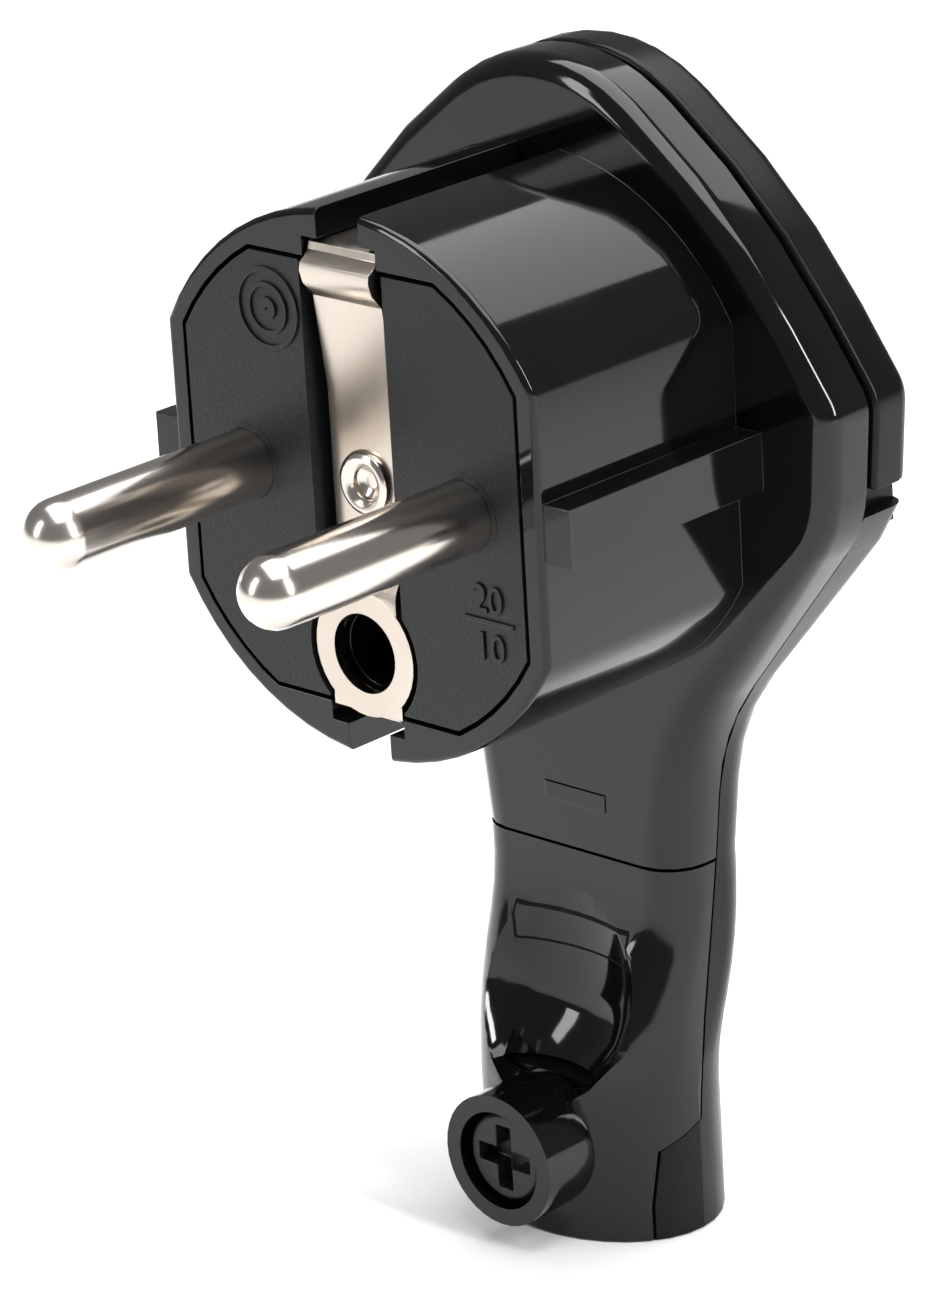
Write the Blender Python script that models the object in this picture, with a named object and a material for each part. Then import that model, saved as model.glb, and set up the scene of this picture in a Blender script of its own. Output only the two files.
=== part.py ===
"""Flat schuko plug with a fold-out pull handle, built from its real pieces.

Lengths are metres. Every piece hangs on the plug_datum empty, which sits in the middle of the
plug's face: X runs across the two pins, Y (depth) from the face to the back, Z up the plug.
The object's own frame has its origin under the middle of its box, on the surface it stands on.
"""

import math

import bmesh
import bpy
from mathutils import Matrix, Vector

MM = 0.001

# Round body that goes into the socket
BODY_RADIUS = 18.3 * MM
BODY_FLAT = 16.05 * MM
BODY_DEPTH = 18.7 * MM
BODY_EDGE = 0.45 * MM
RIB_REACH = 18.15 * MM
RIB_HEIGHT = 3.85 * MM
RIB_SETBACK = 0.35 * MM
GROOVE_WIDTH = 3.7 * MM
POCKET_WIDTH = 6.4 * MM
POCKET_TOP = 16.25 * MM

# Flange and neck outline, seen from the front
CROWN_HEIGHT = 24.1 * MM
CROWN_CORNER = 4.1 * MM
CROWN_RADIUS = 12.5 * MM
SHOULDER_X = 15.3 * MM
SHOULDER_Z = 16.15 * MM
SHOULDER_RADIUS = 50.0 * MM
CHEEK_X = 23.8 * MM
CHEEK_TOP_Z = 3.9 * MM
CHEEK_TOP_RADIUS = 3.0 * MM
CHEEK_LOW_X = 23.15 * MM
CHEEK_LOW_Z = -4.6 * MM
CHEEK_LOW_RADIUS = 8.0 * MM
THROAT_X = 10.25 * MM
THROAT_Z = -21.3 * MM
THROAT_RADIUS = 16.0 * MM
NECK_HALF_WIDTH = 9.2 * MM
NECK_SEAM_Z = -30.65 * MM
RIM_ROUND = 1.6 * MM
NECK_ROUND = 3.0 * MM

# Depths behind the face, each worked out from the one before it
FLANGE_DEPTH = BODY_DEPTH
FLANGE_THICKNESS = 4.0 * MM
PARTING_DEPTH = FLANGE_DEPTH + FLANGE_THICKNESS
HANDLE_SLIT = 0.7 * MM
HANDLE_THICKNESS = 3.8 * MM
HANDLE_FRONT = PARTING_DEPTH + HANDLE_SLIT
HANDLE_BACK = HANDLE_FRONT + HANDLE_THICKNESS
PLATEAU_BACK = HANDLE_BACK + 0.1 * MM
PLATEAU_EDGE = 0.5 * MM
HEEL_BACK = HANDLE_BACK + 0.2 * MM
NECK_BACK = HEEL_BACK - 0.8 * MM

# Stem
PIN_AXIS_HEIGHT = 57.0 * MM
# Thumb scoop sections, as (height, half width, way back from the flange's front)
SCOOP_SECTIONS = (
    (-30.9 * MM, 8.6 * MM, -0.3 * MM),
    (-34.0 * MM, 7.6 * MM, -0.02 * MM),
    (-36.0 * MM, 7.3 * MM, 0.1 * MM),
    (-38.3 * MM, 7.1 * MM, 0.35 * MM),
    (-41.5 * MM, 6.7 * MM, 0.7 * MM),
    (-44.0 * MM, 5.9 * MM, -0.1 * MM),
    (-45.8 * MM, 4.8 * MM, -1.9 * MM),
    (-47.0 * MM, 3.5 * MM, -3.9 * MM),
    (-47.7 * MM, 2.2 * MM, -5.4 * MM),
    (-48.0 * MM, 1.2 * MM, -6.6 * MM),
)
SCOOP_RIM = 5.0 * MM
STEM_HALF_WIDTH = 9.0 * MM
STEM_DEPTH = 14.0 * MM
STEM_BACK = HANDLE_BACK - 0.1 * MM
STEM_FRONT = STEM_BACK - STEM_DEPTH
STEM_BULGE_TOP = -33.0 * MM
STEM_BULGE_LOW = -47.0 * MM
STEM_EDGE = 0.2 * MM
SEAM_GAP = 0.2 * MM
SEAM_MIDDLE = (21.0 * MM, -41.9 * MM)
SEAM_STEP_TOP = (20.25 * MM, -48.9 * MM)
SEAM_STEP_LOW = (17.0 * MM, -50.4 * MM)
SEAM_FOOT_DEPTH = 16.5 * MM
SEAM_FOOT_TOP = 4.0 * MM

# Walls and running clearance
WALL = 1.8 * MM
THIN_WALL = 1.2 * MM
GAP = 0.3 * MM

# Pull handle
BAR_WIDTH = 3.6 * MM
HANDLE_FOOT_Z = -2.4 * MM
HANDLE_FRONT_ROUND = 0.45 * MM
HANDLE_BACK_ROUND = 1.25 * MM
HANDLE_GAP = 0.4 * MM
TRUNNION_DIAMETER = 2.0 * MM
TRUNNION_SETBACK = 0.05 * MM
PIVOT_DEPTH = HANDLE_FRONT + TRUNNION_DIAMETER / 2 + TRUNNION_SETBACK
PIVOT_Z = -1.05 * MM
TRUNNION_LENGTH = 2.0 * MM
TRUNNION_ROOT = 0.6 * MM
EAR_INNER = 22.05 * MM
EAR_TOP_Z = 5.0 * MM
CHEEK_BLOCK_TOP = 3.4 * MM
LEDGE_Z = -4.1 * MM
NOTCH_WIDTH = 13.0 * MM
NOTCH_LOW_Z = 14.2 * MM

# Contact carrier
CARRIER_RADIUS = 16.7 * MM
CARRIER_HALF_WIDTH = 14.3 * MM
CARRIER_HALF_HEIGHT = 14.65 * MM
CARRIER_PLATE = 1.4 * MM
CARRIER_DEPTH = PARTING_DEPTH - 0.5 * MM
CHANNEL_WIDTH = 7.2 * MM
CHANNEL_DEPTH = 2.4 * MM
RING_RECESS = 1.2 * MM
TUBE_WALL = 1.5 * MM
TUBE_DEPTH = 14.0 * MM
TAB_REACH = 1.3 * MM
TAB_DEPTH = 1.4 * MM
TAB_LOW_Z = 1.5 * MM
TAB_HIGH_Z = 5.4 * MM

# Pins
PIN_SPACING = 19.0 * MM
PIN_DIAMETER = 4.8 * MM
PIN_LENGTH = 19.0 * MM
PIN_BORE = 3.9 * MM
PIN_NOSE = 1.6 * MM
HEAD_WIDTH = 6.6 * MM
HEAD_HEIGHT = 13.0 * MM
HEAD_DEPTH = 10.0 * MM
WIRE_HOLE = 3.2 * MM

# Earth contact
STRAP_WIDTH = 6.0 * MM
STRAP_THICKNESS = 0.8 * MM
STRAP_FACE = 1.3 * MM
STRAP_LEG = 15.0 * MM
TAB_FACE = 0.1 * MM
TAB_END_Z = -15.35 * MM
LEG_TOP_Z = 16.1 * MM
# The strip's bead and joggle, as (depth, way down from the top) and (depth, height)
BEAD_CORNERS = (
    (1.0 * MM, 0.0),
    (0.45 * MM, 0.25 * MM),
    (0.35 * MM, 0.75 * MM),
    (-0.05 * MM, 1.15 * MM),
    (-0.45 * MM, 1.4 * MM),
    (-0.56 * MM, 1.95 * MM),
    (-0.3 * MM, 2.8 * MM),
    (0.54 * MM, 3.8 * MM),
)
BAR_TOP_Z = 6.0 * MM
JOGGLE_CORNERS = ((1.3 * MM, -4.4 * MM), (0.75 * MM, -5.6 * MM), (0.3 * MM, -6.3 * MM), (0.1 * MM, -6.9 * MM))
TAB_BEND = 0.25 * MM
RIVET_TAIL = 0.7 * MM
RIVET_ROLL = 0.15 * MM
RIVET_SEAT = 0.03 * MM
SLIT_WIDTH = 1.0 * MM
EARTH_HOLE_Z = -11.1 * MM
EARTH_HOLE_DIAMETER = 5.4 * MM
RING_DIAMETER = 8.56 * MM
RING_PROUD = 0.04 * MM
RIVET_Z = 0.1 * MM
RIVET_FACE = 1.0 * MM
RIVET_RIM_DIAMETER = 4.44 * MM
RIVET_SHANK_DIAMETER = 3.0 * MM
RIVET_BORE = 2.1 * MM
SLEEVE_BORE = 5.0 * MM
SLEEVE_DEPTH = 3.6 * MM
SPRING_WALL = 0.3 * MM
SPRING_DEPTH = 17.0 * MM
EARTH_PLATE = 1.0 * MM
EARTH_BLOCK_WIDTH = 7.6 * MM
EARTH_BLOCK_HEIGHT = 9.0 * MM
EARTH_BLOCK_FRONT = 16.3 * MM
EARTH_BLOCK_BACK = 24.3 * MM
EARTH_WEB_WIDTH = 4.0 * MM
EARTH_BLOCK_LOW_Z = 1.5 * MM

# Screws
TERMINAL_SCREW_DIAMETER = 3.4 * MM
PIN_SCREW_LENGTH = 5.4 * MM
EARTH_SCREW_LENGTH = 3.4 * MM
SCREW_HEAD_DEPTH = 1.7 * MM
SLOT_DEPTH = 0.8 * MM
SLOT_SHARE = 0.09
SHELL_SCREW_X = 16.7 * MM
SHELL_SCREW_Z = -7.2 * MM
SHELL_SCREW_DIAMETER = 2.2 * MM
SHELL_SCREW_HEAD = 4.2 * MM
SHELL_SCREW_LENGTH = 5.2 * MM
POST_DIAMETER = 4.6 * MM
CLAMP_AXIS_Z = -50.5 * MM
COLLAR_DIAMETER = 9.4 * MM
COLLAR_FRONT = 9.6 * MM
COLLAR_BORE = 7.0 * MM
COLLAR_SEAT = 12.9 * MM
CLAMP_HEAD_DIAMETER = 6.4 * MM
CLAMP_HEAD_DEPTH = 2.4 * MM
CLAMP_HEAD_EDGE = 0.3 * MM
CLAMP_SHANK_DIAMETER = 4.0 * MM
CLAMP_TIP_DEPTH = 17.7 * MM
CROSS_WIDTH = 1.3 * MM
CROSS_SPAN = 4.6 * MM
CROSS_DEPTH = 1.4 * MM
NUT_SIZE = 6.0 * MM
NUT_THICKNESS = 1.9 * MM
BLOCK_FRONT = 15.3 * MM
BLOCK_HALF_WIDTH = 4.2 * MM
BLOCK_TOP_Z = -46.0 * MM
BLOCK_LOW_Z = -55.3 * MM

# Cord inlet and wire room
INLET_DIAMETER = 7.5 * MM
INLET_DEPTH = 21.5 * MM
SADDLE_WIDTH = 6.6 * MM
SADDLE_HEIGHT = 6.0 * MM
SADDLE_THICKNESS = 1.2 * MM
ROOM_HALF_WIDTH = 13.2 * MM
ROOM_TOP_Z = 11.0 * MM
ROOM_LOW_Z = -15.5 * MM
ROOM_BACK = PARTING_DEPTH + 2.0 * MM
DUCT_FRONT = FLANGE_DEPTH + 2.2 * MM
DUCT_BACK = NECK_BACK - WALL
DUCT_HALF_WIDTH = 5.2 * MM
DUCT_LOW_Z = -47.6 * MM
INLET_TOP_Z = -46.4 * MM

# Largest share of a corner's shorter side that its arc may take
SIDE_SHARE = 0.65
# Smallest corner radius of an outline that is drawn in
LEAST_CORNER = 1.2 * MM
# No outline point lies nearer than this to a square end, so that the end's edge can be rounded
CORNER_SPACE = 1.5 * MM
ARC_STEPS = 4
ROUND_SEGMENTS = 36
SMALL_SEGMENTS = 20
BODY_STEP_ANGLE = math.radians(6.0)
OVERSHOOT = 3.0 * MM

FACE_Y = (PIN_LENGTH - HEEL_BACK) / 2

PLASTIC_FACE = ("matt_black_insert", (0.022, 0.023, 0.026), 0.62, 0.0)
PLASTIC_GLOSS = ("gloss_black_shell", (0.008, 0.008, 0.010), 0.12, 0.0)
PLASTIC_SEMI = ("semi_gloss_black", (0.014, 0.014, 0.016), 0.3, 0.0)
NICKEL = ("bright_nickel", (0.80, 0.74, 0.68), 0.16, 1.0)
BRASS = ("plain_brass", (0.75, 0.58, 0.27), 0.3, 1.0)
STEEL = ("zinc_steel", (0.62, 0.63, 0.64), 0.33, 1.0)
BLACK_STEEL = ("black_screw", (0.012, 0.012, 0.013), 0.7, 0.2)

# Local axes of an outline that is extruded along X, Y or Z
EXTRUDE_FRAMES = {
    "X": Matrix(((0, 0, 1), (1, 0, 0), (0, 1, 0))).to_4x4(),
    "Y": Matrix(((1, 0, 0), (0, 0, -1), (0, 1, 0))).to_4x4(),
    "Z": Matrix.Identity(4),
}
ALONG_Y = Matrix.Rotation(-math.pi / 2, 4, "X")
ALONG_X = Matrix.Rotation(math.pi / 2, 4, "Y")


# Scene helpers


def clear_scene():
    for item in list(bpy.data.objects):
        bpy.data.objects.remove(item)


def new_collection(name):
    collection = bpy.data.collections.new(name)
    bpy.context.scene.collection.children.link(collection)
    return collection


def make_material(name, finish):
    """A Principled material of the piece's own colour, roughness and metallic value."""
    title, colour, roughness, metallic = finish
    material = bpy.data.materials.new(f"{name}_{title}")
    material.use_nodes = True
    shader = material.node_tree.nodes["Principled BSDF"]
    shader.inputs["Base Color"].default_value = (*colour, 1.0)
    shader.inputs["Roughness"].default_value = roughness
    shader.inputs["Metallic"].default_value = metallic
    return material


def add_tool(name, mesh, matrix=None):
    """A helper solid that cuts or joins, kept out of renders."""
    item = bpy.data.objects.new(name, mesh)
    tools.objects.link(item)
    item.parent = datum
    if matrix is not None:
        item.matrix_local = matrix
    item.hide_render = True
    item.display_type = "WIRE"
    return item


def as_part(item, name, finish):
    """Turns a helper solid into a named piece with its own material."""
    tools.objects.unlink(item)
    parts.objects.link(item)
    item.name = name
    item.hide_render = False
    item.display_type = "TEXTURED"
    item.data.name = name
    item.data.materials.append(make_material(name, finish))
    item.data.shade_smooth()
    item.data.set_sharp_from_angle(angle=math.radians(32))
    return item


def boolean(target, tool, operation):
    modifier = target.modifiers.new(f"{operation.lower()}_{tool.name}", "BOOLEAN")
    modifier.operation = operation
    modifier.object = tool
    modifier.solver = "EXACT"
    return target


def cut(target, *cutters):
    for cutter in cutters:
        boolean(target, cutter, "DIFFERENCE")
    return target


def join(target, *pieces):
    for piece in pieces:
        boolean(target, piece, "UNION")
    return target


def keep(target, tool):
    return boolean(target, tool, "INTERSECT")


# Outlines


def arc_at(corner, before, after, radius):
    """Points of the arc that rounds a corner between its two neighbours."""
    corner, before, after = Vector(corner), Vector(before), Vector(after)
    inward, outward = (before - corner).normalized(), (after - corner).normalized()
    half_angle = inward.angle(outward) / 2
    longest = SIDE_SHARE * min((before - corner).length, (after - corner).length)
    reach = min(radius / math.tan(half_angle), longest)
    radius = reach * math.tan(half_angle)
    middle = corner + (inward + outward).normalized() * radius / math.sin(half_angle)
    start, end = corner + inward * reach - middle, corner + outward * reach - middle
    turn = start.angle_signed(end)
    steps = max(2, math.ceil(abs(turn) / math.radians(9)))
    return [middle + Matrix.Rotation(-turn * i / steps, 2) @ start for i in range(steps + 1)]


def flange_side(low_z, drawn_in=0.0):
    """Right half of the flange and neck outline, from the crown down to low_z, or one drawn in from it."""
    corners = [
        ((-CROWN_CORNER, CROWN_HEIGHT), CROWN_RADIUS),
        ((CROWN_CORNER, CROWN_HEIGHT), CROWN_RADIUS),
        ((SHOULDER_X, SHOULDER_Z), SHOULDER_RADIUS),
        ((CHEEK_X, CHEEK_TOP_Z), CHEEK_TOP_RADIUS),
        ((CHEEK_LOW_X, CHEEK_LOW_Z), CHEEK_LOW_RADIUS),
        ((THROAT_X, THROAT_Z), THROAT_RADIUS),
        (Vector((THROAT_X, THROAT_Z)).lerp((NECK_HALF_WIDTH, NECK_SEAM_Z), 2.5), 0.0),
    ]
    corners = draw_in(corners, drawn_in)
    points = []
    for before, (corner, radius), after in zip(corners, corners[1:], corners[2:]):
        points += arc_at(corner, before[0], after[0], radius)
    points.append(corners[-1][0])
    crown = Vector((0.0, corners[0][0].y))
    return clip_below([crown] + [point for point in points if point.x > CORNER_SPACE / 8], low_z)


def draw_in(corners, distance):
    """Moves a downward run of corners to the left of it inwards, with round corners kept concentric."""
    places = [Vector(place) for place, _ in corners]
    moved = []
    for i, place in enumerate(places):
        into = (place - places[i - 1]).normalized() if i else None
        out = (places[i + 1] - place).normalized() if i + 1 < len(places) else into
        into = into or out
        normal = Vector((into.y + out.y, -into.x - out.x)).normalized()
        shift = distance / normal.dot(Vector((into.y, -into.x)))
        convex = into.x * out.y - into.y * out.x < 0
        radius = corners[i][1]
        if radius > 0:
            radius = max(LEAST_CORNER, radius - distance) if convex else radius + distance
        moved.append((place + normal * shift, radius))
    return moved


def clip_below(points, low_z):
    """The part of a downward run of points that is above low_z, ending on it."""
    kept = [point for point in points if point.y > low_z]
    if len(kept) < len(points):
        above, below = kept[-1], points[len(kept)]
        end = above.lerp(below, (above.y - low_z) / (above.y - below.y))
        kept = [point for point in kept if (point - end).length > CORNER_SPACE] + [end]
    return kept


def mirrored(side):
    """A closed outline, anticlockwise from the front, from its right half listed downward."""
    left = [Vector((-point.x, point.y)) for point in side if point.x > 1e-6]
    return list(reversed(side)) + left


def moved_in(outline, distances):
    """Moves each point of a closed anticlockwise outline inwards by its own distance."""
    count = len(outline)
    moved = []
    for i, point in enumerate(outline):
        into = (point - outline[i - 1]).normalized()
        out = (outline[(i + 1) % count] - point).normalized()
        normal = Vector((-into.y - out.y, into.x + out.x)).normalized()
        mitre = max(0.5, normal.dot(Vector((-into.y, into.x))))
        moved.append(point + normal * distances[i] / mitre)
    return moved


def clipped_circle(radius, half_width, half_height):
    """A circle cut flat at its sides, and at its top and bottom where it reaches that far."""
    side_angle = math.acos(min(1.0, half_width / radius))
    top_angle = math.asin(min(1.0, half_height / radius))
    steps = max(3, round((top_angle - side_angle) / BODY_STEP_ANGLE))
    quarter = [
        Vector((math.cos(angle), math.sin(angle))) * radius
        for angle in (side_angle + (top_angle - side_angle) * i / steps for i in range(steps + 1))
    ]
    if quarter[-1].x < 1e-6:
        quarter.pop()
    upper = quarter + [Vector((-point.x, point.y)) for point in reversed(quarter)]
    return upper + [-point for point in upper]


def rectangle(half_width, low, high):
    places = ((half_width, low), (half_width, high), (-half_width, high), (-half_width, low))
    return [Vector(place) for place in places]


# Solids


def mesh_from(bm, name):
    mesh = bpy.data.meshes.new(name)
    bmesh.ops.recalc_face_normals(bm, faces=bm.faces)
    bm.to_mesh(mesh)
    bm.free()
    return mesh


def loft(name, rings):
    """A closed solid through rings of equally many points, capped at both ends."""
    bm = bmesh.new()
    loops = [[bm.verts.new(point) for point in ring] for ring in rings]
    for first, second in zip(loops, loops[1:]):
        for i in range(len(first)):
            j = (i + 1) % len(first)
            bm.faces.new((first[i], first[j], second[j], second[i]))
    bm.faces.new(loops[0])
    bm.faces.new(reversed(loops[-1]))
    return add_tool(name, mesh_from(bm, name))


def rounded_plate(name, outline, front, back, front_round, back_round):
    """A plate across Y, with a round edge at its front and back whose radius may vary along it."""
    fronts = [front_round(point.y) for point in outline]
    backs = [back_round(point.y) for point in outline]
    angles = [math.pi / 2 * step / ARC_STEPS for step in range(ARC_STEPS + 1)]
    rings = []
    for angle in angles if max(fronts) > 0 else angles[-1:]:
        shrunk = moved_in(outline, [radius * (1 - math.sin(angle)) for radius in fronts])
        rings.append([(p.x, front + r * (1 - math.cos(angle)), p.y) for p, r in zip(shrunk, fronts)])
    for angle in angles if max(backs) > 0 else angles[:1]:
        shrunk = moved_in(outline, [radius * (1 - math.cos(angle)) for radius in backs])
        rings.append([(p.x, back - r * (1 - math.sin(angle)), p.y) for p, r in zip(shrunk, backs)])
    return loft(name, rings)


def extrusion(name, outline, axis, low, high):
    """A flat outline extruded along one axis. Across Y it is in X and Z, across X in Y and Z."""
    curve = bpy.data.curves.new(name, "CURVE")
    curve.dimensions = "2D"
    curve.fill_mode = "BOTH"
    curve.extrude = (high - low) / 2
    spline = curve.splines.new("POLY")
    spline.points.add(len(outline) - 1)
    for point, place in zip(spline.points, outline):
        point.co = (place[0], place[1], 0.0, 1.0)
    spline.use_cyclic_u = True
    drawn = bpy.data.objects.new(f"{name}_curve", curve)
    tools.objects.link(drawn)
    bpy.context.view_layer.update()
    mesh = bpy.data.meshes.new_from_object(drawn.evaluated_get(bpy.context.evaluated_depsgraph_get()))
    bm = bmesh.new()
    bm.from_mesh(mesh)
    bmesh.ops.remove_doubles(bm, verts=bm.verts, dist=0.001 * MM)
    bmesh.ops.dissolve_limit(bm, angle_limit=0.001, verts=bm.verts, edges=bm.edges)
    bpy.data.meshes.remove(mesh)
    bpy.data.objects.remove(drawn)
    middle = Vector([(low + high) / 2 if letter == axis else 0.0 for letter in "XYZ"])
    return add_tool(name, mesh_from(bm, name), Matrix.Translation(middle) @ EXTRUDE_FRAMES[axis])


def box(name, low, high):
    """A box between two corners."""
    low, high = Vector(low), Vector(high)
    bm = bmesh.new()
    bmesh.ops.create_cube(bm, size=1.0, matrix=Matrix.Diagonal((*(high - low), 1.0)))
    return add_tool(name, mesh_from(bm, name), Matrix.Translation((low + high) / 2))


def rod(name, diameter, start, end, along="Y", segments=SMALL_SEGMENTS):
    """A cylinder between two points on a line along X, Y or Z."""
    start, end = Vector(start), Vector(end)
    turns = {"X": ALONG_X, "Y": ALONG_Y, "Z": Matrix.Identity(4)}
    bm = bmesh.new()
    bmesh.ops.create_cone(
        bm,
        cap_ends=True,
        segments=segments,
        radius1=diameter / 2,
        radius2=diameter / 2,
        depth=(end - start).length,
    )
    return add_tool(name, mesh_from(bm, name), Matrix.Translation((start + end) / 2) @ turns[along])


def turned(name, profile, x, z, closed=False, segments=ROUND_SEGMENTS):
    """A shape turned about a line along Y, from the (radius, depth) points of its profile."""
    bm = bmesh.new()
    points = [bm.verts.new((radius, 0.0, depth)) for radius, depth in profile]
    pairs = list(zip(points, points[1:]))
    if closed:
        pairs.append((points[-1], points[0]))
    edges = [bm.edges.new(pair) for pair in pairs]
    bmesh.ops.spin(
        bm,
        geom=points + edges,
        cent=(0, 0, 0),
        axis=(0, 0, 1),
        angle=math.tau,
        steps=segments,
        use_merge=True,
    )
    bmesh.ops.remove_doubles(bm, verts=bm.verts, dist=0.001 * MM)
    return add_tool(name, mesh_from(bm, name), Matrix.Translation((x, 0.0, z)) @ ALONG_Y)


def ring(name, outer, inner, front, back, x, z, segments=ROUND_SEGMENTS):
    """A turned tube between two depths."""
    profile = [(inner / 2, back), (outer / 2, back), (outer / 2, front), (inner / 2, front)]
    return turned(name, profile, x, z, closed=True, segments=segments)


def blend(value, low, high):
    """0 below low, 1 above high, and a smooth rise between."""
    share = min(1.0, max(0.0, (value - low) / (high - low)))
    return share * share * (3 - 2 * share)


# Outer forms


def rim_round(z):
    """Edge radius along the outline: that of the neck below, that of the flange above."""
    return NECK_ROUND + (RIM_ROUND - NECK_ROUND) * blend(z, THROAT_Z, CHEEK_LOW_Z)


def half_width_at(z):
    """Half width of the flange, neck and stem at a height below the cheeks."""
    side = flange_side(NECK_SEAM_Z - OVERSHOOT)
    if z <= NECK_SEAM_Z:
        narrow = blend(z, STEM_BULGE_LOW, NECK_SEAM_Z)
        return STEM_HALF_WIDTH + (NECK_HALF_WIDTH - STEM_HALF_WIDTH) * narrow
    for above, below in zip(side, side[1:]):
        if below.y <= z <= above.y and above.y - below.y > 1e-9:
            return above.lerp(below, (above.y - z) / (above.y - below.y)).x
    return side[-1].x


def stem_section(z, margin=0.0):
    """Level section of the neck or stem: a rectangle with elliptic corners, drawn in by a margin."""
    bulge = 1 - blend(z, STEM_BULGE_LOW, STEM_BULGE_TOP)
    half_width = half_width_at(z) - margin
    front = FLANGE_DEPTH + (STEM_FRONT - FLANGE_DEPTH) * bulge + margin
    neck_back = NECK_BACK + (HEEL_BACK - NECK_BACK) * blend(z, THROAT_Z, LEDGE_Z)
    back = neck_back + (STEM_BACK - neck_back) * bulge - margin
    heel = 1 - blend(z, THROAT_Z, LEDGE_Z)
    depth = back - front
    front_x = NECK_ROUND + (half_width - NECK_ROUND) * bulge - margin * (1 - bulge)
    front_y = NECK_ROUND + (depth / 2 - NECK_ROUND) * bulge - margin * (1 - bulge)
    back_x = (RIM_ROUND + (NECK_ROUND - RIM_ROUND) * heel) * (1 - bulge) + half_width * bulge
    back_y = (RIM_ROUND + (NECK_ROUND - RIM_ROUND) * heel) * (1 - bulge) + depth / 2 * bulge
    corners = [
        (half_width, back, -back_x, -back_y, 0),
        (-half_width, back, back_x, -back_y, 1),
        (-half_width, front, front_x, front_y, 2),
        (half_width, front, -front_x, front_y, 3),
    ]
    points = []
    for x, y, into_x, into_y, quarter in corners:
        radius_x, radius_y = abs(into_x) * 0.998, abs(into_y) * 0.998
        for step in range(2 * ARC_STEPS + 1):
            angle = math.pi / 2 * (quarter + step / (2 * ARC_STEPS))
            centre_x, centre_y = x + math.copysign(radius_x, into_x), y + math.copysign(radius_y, into_y)
            points.append((centre_x + radius_x * math.cos(angle), centre_y + radius_y * math.sin(angle), z))
    return points


def stem_solid(name):
    """The heel, neck and stem as one solid, from under the handle's foot to the floor."""
    bottom = -PIN_AXIS_HEIGHT
    levels = [bottom, bottom + STEM_EDGE * 0.3, bottom + STEM_EDGE]
    margins = [STEM_EDGE, STEM_EDGE * 0.3, 0.0]
    middle = [STEM_BULGE_LOW + (STEM_BULGE_TOP - STEM_BULGE_LOW) * i / 7 for i in range(8)]
    upper = [NECK_SEAM_Z + (LEDGE_Z - NECK_SEAM_Z) * i / 10 for i in range(11)]
    heights = levels + middle + upper
    margins += [0.0] * (len(heights) - len(margins))
    return loft(name, [stem_section(z, margin) for z, margin in zip(heights, margins)])


def seam_side(name, shift, top_z):
    """Everything in front of the seam between the covers, moved back by a shift."""
    outline = [
        (0.0, top_z),
        (0.0, -PIN_AXIS_HEIGHT - OVERSHOOT),
        (SEAM_FOOT_DEPTH + shift, -PIN_AXIS_HEIGHT - OVERSHOOT),
        (SEAM_FOOT_DEPTH + shift, SEAM_STEP_LOW[1] - SEAM_FOOT_TOP),
        (SEAM_STEP_LOW[0] + shift, SEAM_STEP_LOW[1]),
        (SEAM_STEP_TOP[0] + shift, SEAM_STEP_TOP[1]),
        (SEAM_MIDDLE[0] + shift, SEAM_MIDDLE[1]),
        (PARTING_DEPTH + shift, min(NECK_SEAM_Z, top_z)),
    ]
    if top_z > NECK_SEAM_Z:
        outline.append((PARTING_DEPTH + shift, top_z))
    return extrusion(name, outline, "X", -2 * CHEEK_X, 2 * CHEEK_X)


def thumb_scoop(name):
    """The hollow for the thumb: flat under the neck, curling out to the collar at its lower end."""
    rings = []
    for z, half_width, way_back in SCOOP_SECTIONS:
        back = FLANGE_DEPTH + way_back
        arc = [math.pi * step / 16 for step in range(17)]
        hollow = [(half_width * math.cos(a), back - SCOOP_RIM * (1 - math.sin(a) ** 0.7), z) for a in arc]
        rings.append(hollow + [(-half_width, SCOOP_RIM, z), (half_width, SCOOP_RIM, z)])
    return loft(name, rings)


# Shells


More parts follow.
